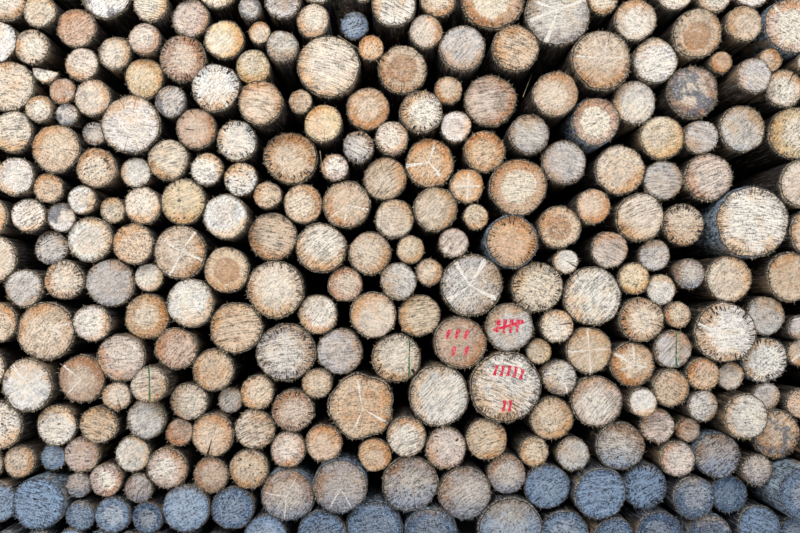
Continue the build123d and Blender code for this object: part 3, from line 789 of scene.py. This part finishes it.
class LogMesh:
    """Collects the points, faces and attributes of the logs of one course."""

    def __init__(self):
        self.points, self.faces, self.slots, self.count = [], [], [], 0
        self.values = {}

    def add(self, bar, look, dice):
        """One log, from the pith over the sawn end and the bark to the far end."""
        shape = Shape(bar, look, dice)
        turns, way, thick, pith = shape.turns, shape.way, shape.thick, shape.pith
        rough = dice.normal(0, 1, (4, turns))
        chip = np.zeros(turns)
        for _ in range(int(dice.integers(0, MOST_CHIPS + 1))):
            at, wide = dice.uniform(0, math.tau), dice.uniform(*CHIP_WIDTH)
            gap = np.abs((shape.angles - at + math.pi) % math.tau - math.pi)
            chip = np.maximum(chip, np.clip(1.3 * (1 - (gap / wide) ** 2), 0, 1))

        wood = (shape.trunk(0.0) - thick) * (1 - RIM_ROUGHNESS * np.abs(rough[0]))
        outline = way * wood[:, None]
        flat = np.array([pith])
        self.begin(bar, look)
        centre = self.row(shape.on_cut(flat), flat - pith, 0.0)
        ring = None
        for size in END_RINGS:
            flat = pith * (1 - size) + outline * size
            reach = np.clip((look["check_reach"] - size) * 4, 0, 1) * min(1.0, 0.35 + size)
            deep = shape.is_check * CHECK_DEPTH * reach
            row = self.row(shape.on_cut(flat, deep), flat - pith, size, deep > 0.001)
            ring = self.band(ring, row, "end") if ring else self.fan(centre, row)
        base = shape.cut_depth(outline)
        shoulder = [  # radius, depth, bare, edge
            (wood + 0.0008, 0.003, 0.9, 0.6),
            (wood + thick * (0.55 - 0.5 * chip), -0.001 + 0.0016 * rough[1], chip, 1.0),
            (shape.trunk(0.003) - thick * chip - 0.0016 * np.abs(rough[2]),
             0.004 + 0.003 * np.abs(rough[3]), chip, 0.9),
        ]
        for size, depth, bare, edge in shoulder:
            flat = way * size[:, None]
            points = np.column_stack([flat + bar.centre, base + depth])
            ring = self.band(ring, self.row(points, flat, 1.0, 0.0, bare, edge), "bark")
        for s in STATIONS:
            gone = chip * math.exp(-s / CHIP_FADE)
            jitter = dice.normal(0, ROUGHNESS, turns)
            flat = way * (shape.trunk(s) - thick * gone + jitter)[:, None]
            middle = (shape.front_centre * (1 - s / shape.length)
                      + shape.back_centre * s / shape.length)
            points = np.column_stack([flat + middle, np.full(turns, shape.y0 + s)])
            if s < SLANT_END:
                points[:, 2] += (base - shape.y0) * (1 - s / SLANT_END)
            row = self.row(points, flat, 1.0, 0.0, gone, math.exp(-s / EDGE_FADE))
            ring = self.band(ring, row, "bark")
        self.back_end(shape, ring, dice)
        self.fray(shape, dice)
        colour, strokes = look.get("strokes", ("red", []))
        for line in strokes:
            self.stroke(shape, np.array(line) / 100, colour)

    def back_end(self, shape, ring, dice):
        """The plain cut at the far end."""
        tilt = dice.normal(0, CUT_SLOPE, 2)
        outer = shape.trunk(shape.length)
        for size, slot in ((1.0, "bark"), (0.94, "bark"), (0.55, "end")):
            flat = shape.way * (outer * size)[:, None]
            depth = shape.y1 - END_INSET + np.clip(flat @ tilt, -0.004, 0.003)
            points = np.column_stack([flat + shape.back_centre, depth])
            row = self.row(points, flat, size, edge=float(size == 1.0))
            ring = self.band(ring, row, slot)
        tip = np.array([[*shape.back_centre, shape.y1 - END_INSET]])
        self.fan(self.row(tip, np.zeros((1, 2)), 0.0), ring, facing_back=True)

    def fray(self, shape, dice):
        """Keeps places round the rim where torn fibres stick out, most of them below."""
        number = int(math.tau * shape.bar.radius * FIBRES_PER_METRE * dice.uniform(0.2, 1.4))
        low = dice.random(number) < FIBRES_BELOW
        angles = np.where(low, dice.normal(-1.6, 0.8, number), dice.uniform(-3.1, 3.1, number))
        near = (angles[:, None] - shape.angles + math.pi) % math.tau - math.pi
        size = shape.trunk(0.002)[np.argmin(np.abs(near), axis=1)]
        way = np.column_stack([np.cos(angles), np.sin(angles)])
        place = shape.on_cut(way * (size - 0.003)[:, None], 0.001)
        sideways = np.column_stack([-way[:, 1], way[:, 0]]) * dice.normal(0, 0.6, (number, 1))
        aim = np.column_stack([way + sideways, dice.uniform(-0.5, 0.1, number)])
        reach = FIBRE_REACH + FIBRE_EXTRA * dice.random(number) ** 2
        FRAYED.append((place[:, [0, 2, 1]], aim[:, [0, 2, 1]], reach,
                       dice.uniform(*FIBRE_GIRTH, number)))

    def stroke(self, shape, line, colour):
        """One painted stroke: a thin closed slab that follows the saw cut."""
        share = np.linspace(0, 1, STROKE_STEPS)[:, None]
        middle = line[0] * (1 - share) + line[1] * share
        across = np.array([line[0, 1] - line[1, 1], line[1, 0] - line[0, 0]])
        across = across / np.linalg.norm(across) * STROKE_WIDTH[colour] / 2
        width = 0.75 + 0.5 * np.sin(share * 2.6 + shape.phase[1]) ** 2
        middle = middle + across * 0.25 * np.sin(share * 5 + shape.phase[2])
        outline = np.concatenate([middle + across * width, (middle - across * width)[::-1]])
        front, back = (self.row(shape.on_cut(outline, depth), outline, 0.5)
                       for depth in (STROKE_FRONT, STROKE_BACK))
        for k in range(STROKE_STEPS - 1):
            quad = [k, k + 1, -2 - k, -1 - k]
            self.keep([[front[i] for i in quad], [back[i] for i in quad[::-1]]], colour)
        self.band(back, front, colour)

    def begin(self, bar, look):
        """The numbers that all points of the next log share."""
        self.own = {
            "habit": (look["seed"], look["saw_angle"], bar.radius),
            "ray_angles": look["ray_angles"][:3],
            "ray_sizes": (look["ray_angles"][3], *look["ray_sizes"]),
            **{name: look[name] for name in ("tone", "bark_tone", "damp_bark")},
            **{name: [look[key] for key in keys] for name, keys in OWN.items()},
        }

    def row(self, points, flat, share, groove=0.0, bare=0.0, edge=0.0):
        """Adds one ring of points, and returns their numbers."""
        n = len(points)
        placed = points[:, [0, 2, 1]]
        placed[:, 2] = np.maximum(placed[:, 2], 0.0)
        self.points.append(placed)
        values = {name: np.tile(value, (n, 1)) for name, value in self.own.items()}
        values["cut_place"] = np.column_stack([flat, np.full(n, share)])
        for name, value in (("groove", groove), ("bare", bare), ("edge", edge)):
            values[name] = np.broadcast_to(value, n)[:, None]
        for name, value in values.items():
            self.values.setdefault(name, []).append(value)
        self.count += n
        return range(self.count - n, self.count)

    def keep(self, faces, slot):
        self.faces += faces
        self.slots += [SLOTS[slot]] * len(faces)

    def band(self, inner, outer, slot):
        """Quads between two rings. It returns the outer ring."""
        self.keep(between(inner, outer), slot)
        return outer

    def fan(self, tip, ring, facing_back=False):
        """Triangles of sawn wood from one point to a ring round it. It returns the ring."""
        pairs = zip(shifted(ring), ring) if facing_back else zip(ring, shifted(ring))
        self.keep([(tip[0], *pair) for pair in pairs], "end")
        return ring

    def build(self, name):
        """The course as one mesh object with its attributes and materials."""
        mesh = bpy.data.meshes.new(name)
        mesh.from_pydata(np.concatenate(self.points), [], self.faces)
        mesh.polygons.foreach_set("material_index", self.slots)
        for key, parts in self.values.items():
            carry(mesh, key, np.concatenate(parts))
        for material in (SAWN_END, BARK, RED, GREEN)[:max(self.slots) + 1]:
            mesh.materials.append(material)
        mesh.polygons.foreach_set("use_smooth", [True] * len(mesh.polygons))
        mesh.set_sharp_from_angle(angle=SHARP_ANGLE)
        return new_object(name, mesh)


# %% Build the logs
def hand_over(piece, replaced=None):
    """Tells the frame what a piece rides on and what it replaces, and counts its triangles."""
    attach(piece, "root")
    if replaced:
        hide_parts(replaced)
    triangles = sum(len(p.vertices) - 2 for p in piece.data.polygons)
    print(piece.name, triangles, "triangles")
    return triangles


dice = np.random.default_rng(7)
looks = dict(zip(map(id, all_bars), all_looks(all_bars, dice)))
total = 0
for name, bars in courses.items():
    collected = LogMesh()
    for bar in bars:
        collected.add(bar, looks[id(bar)], dice)
    total += hand_over(collected.build(name.replace("logs_", "dressed_")), name)
print(total, "triangles in all courses")

# %% [markdown]
# ## Torn fibres and straw
# The saw tears fibres out of the rims, and a few stems of straw lie between the logs. All are
# copies of one thin spike. A node tree puts a copy on each kept place, turns it along its own
# direction and gives it its length.

# %% The node tree that puts spikes on points
def spike_tree(material):
    """The tree, and the name in it of each of its sockets."""
    tree = bpy.data.node_groups.new("spikes_on_points", "GeometryNodeTree")
    sockets = {}
    for name, kind in (("Points", "Geometry"), ("Sides", "Int"), ("Length spread", "Float"),
                       ("Seed", "Int"), ("Spikes", "Geometry")):
        sockets[name] = tree.interface.new_socket(
            name, in_out="OUTPUT" if name == "Spikes" else "INPUT",
            socket_type="NodeSocket" + kind).identifier

    def node(kind, inputs, **settings):
        return new_node(tree, kind, settings, inputs).outputs

    def own(name):
        return node("GeometryNodeInputNamedAttribute", {"Name": name},
                    data_type="FLOAT_VECTOR")["Attribute"]

    given = node("NodeGroupInput", {})
    cone = node("GeometryNodeMeshCone", {
        "Vertices": given["Sides"], "Side Segments": 1, "Fill Segments": 1,
        "Radius Top": 0.0, "Radius Bottom": 1.0, "Depth": 1.0})
    turn = node("FunctionNodeAlignRotationToVector", {"Vector": own("aim")}, axis="Z")
    least = node("ShaderNodeMath", {0: 1.0, 1: given["Length spread"]}, operation="SUBTRACT")
    # the random node keeps plain numbers in inputs 2 and 3, from least to most, and output 1
    chance = node("FunctionNodeRandomValue", {2: least[0], 3: 1.0, "Seed": given["Seed"]},
                  data_type="FLOAT")
    scale = node("ShaderNodeCombineXYZ", {0: 1.0, 1: 1.0, 2: chance[1]})
    sized = node("ShaderNodeVectorMath", {0: own("spike_size"), 1: scale[0]},
                 operation="MULTIPLY")
    copies = node("GeometryNodeInstanceOnPoints", {
        "Points": given["Points"], "Instance": cone["Mesh"], "Rotation": turn["Rotation"],
        "Scale": sized[0]})
    real = node("GeometryNodeRealizeInstances", {"Geometry": copies["Instances"]})
    painted = node("GeometryNodeSetMaterial", {"Geometry": real["Geometry"],
                                               "Material": material})
    node("NodeGroupOutput", {0: painted[0]})
    return tree, sockets


SPIKE_TREE, SPIKE_SOCKETS = spike_tree(FIBRE)


def spikes(name, places, aims, sizes, settings):
    """A mesh of spikes made by the tree, as a plain object."""
    mesh = bpy.data.meshes.new(name + "_points")
    mesh.from_pydata(places, [], [])
    carry(mesh, "aim", aims)
    carry(mesh, "spike_size", sizes)
    holder = new_object(name + "_points", mesh)
    modifier = holder.modifiers.new("spikes", "NODES")
    modifier.node_group = SPIKE_TREE
    for key, value in settings.items():
        modifier[SPIKE_SOCKETS[key]] = value
    ready = holder.evaluated_get(bpy.context.evaluated_depsgraph_get())
    plain = bpy.data.meshes.new_from_object(ready)
    bpy.data.objects.remove(holder)
    return new_object(name, plain)


# %% Put the spikes on their places
LOWEST_FIBRE = 0.03
STRAW_GIRTH = 0.0016
STRAW_FROM, STRAW_TO = 0.02, -0.005  # how far behind the flush line of the ends stems run

places, aims, reach, girth = (np.concatenate(part) for part in zip(*FRAYED))
places[:, 2] = np.maximum(places[:, 2], LOWEST_FIBRE)
hand_over(spikes("torn_fibres", places, aims, np.column_stack([girth, girth, reach]),
                 {"Sides": 3, "Length spread": 0.3, "Seed": 3}))

flush = np.mean([bar.ends[0][1] for bar in all_bars])
starts, stops = (np.array([(across, 0, up) for across, up in ends]) / 100
                 for ends in zip(*STRAWS))
starts[:, 1], stops[:, 1] = flush + STRAW_FROM, flush + STRAW_TO
lengths = np.linalg.norm(stops - starts, axis=1)
hand_over(spikes("straw_stems", starts, stops - starts,
                 [(STRAW_GIRTH, STRAW_GIRTH, length) for length in lengths],
                 {"Sides": 5, "Length spread": 0.0, "Seed": 5}))

# %% [markdown]
# ## Shade slabs in the gaps
# Thin dark slabs with the bark's material stand in a few gaps, at least 20 cm in, as painted
# shade where the gaps would otherwise let light through from behind. Their outlines are uneven.

# %% Shade slabs in the gaps
SHADE_SLABS = [  # across and up of a gap between the ends, and its slab's width and depth, in cm
    (-12.5, 134.5, 12, 130), (72.5, 244, 12, 60), (167, 190, 12, 130),
    (-27.5, 277, 13, 22), (28, 266, 9, 25), (27.5, 273, 9, 28), (28, 278, 8, 22),
]
SLAB_THICKNESS = 0.006
SLAB_CORNERS = 9


def flakes(dice):
    """All shade slabs as one mesh object, each on the line of sight through its gap."""
    points, faces = [], []
    eye = np.array(CAMERA_PLACE)
    angles = np.arange(SLAB_CORNERS) * math.tau / SLAB_CORNERS
    for across, up, width, deep in SHADE_SLABS:
        seen = np.array([across / 100, flush, up / 100])
        further = 1 + deep / 100 / (flush - eye[1])
        middle = eye + (seen - eye) * further
        size = width / 200 * further * dice.uniform(0.8, 1.2, SLAB_CORNERS)
        front, back = (range(len(points) + shift, len(points) + shift + SLAB_CORNERS)
                       for shift in (0, SLAB_CORNERS))
        for depth in (0.0, SLAB_THICKNESS):
            points += [middle + (r * math.cos(a), depth, r * math.sin(a))
                       for a, r in zip(angles, size)]
        faces += [list(front), list(back)[::-1], *between(back, front)]
    mesh = bpy.data.meshes.new("gap_shade_slabs")
    mesh.from_pydata(points, [], faces)
    carry(mesh, "bark_tone", [paint("3B3027")] * len(points))
    mesh.materials.append(BARK)
    return new_object("gap_shade_slabs", mesh)


hand_over(flakes(dice))

# %% [markdown]
# ## The floor
# A plain pale floor carries the stack and keeps its shadow. It isn't part of the object.

# %% Floor
FLOOR = 40.0  # half of its width
FLOOR_COLOUR = (0.56, 0.56, 0.555, 1)

floor_mesh = bpy.data.meshes.new("floor")
corners = [(x * FLOOR, y * FLOOR, 0) for x, y in ((-1, -1), (1, -1), (1, 1), (-1, 1))]
floor_mesh.from_pydata(corners, [], [(0, 1, 2, 3)])
floor_recipe = Recipe("pale_floor")
floor_recipe.shader.inputs["Base Color"].default_value = FLOOR_COLOUR
floor_recipe.shader.inputs["Roughness"].default_value = 0.9
floor_mesh.materials.append(floor_recipe.material)
floor = new_object("floor", floor_mesh)
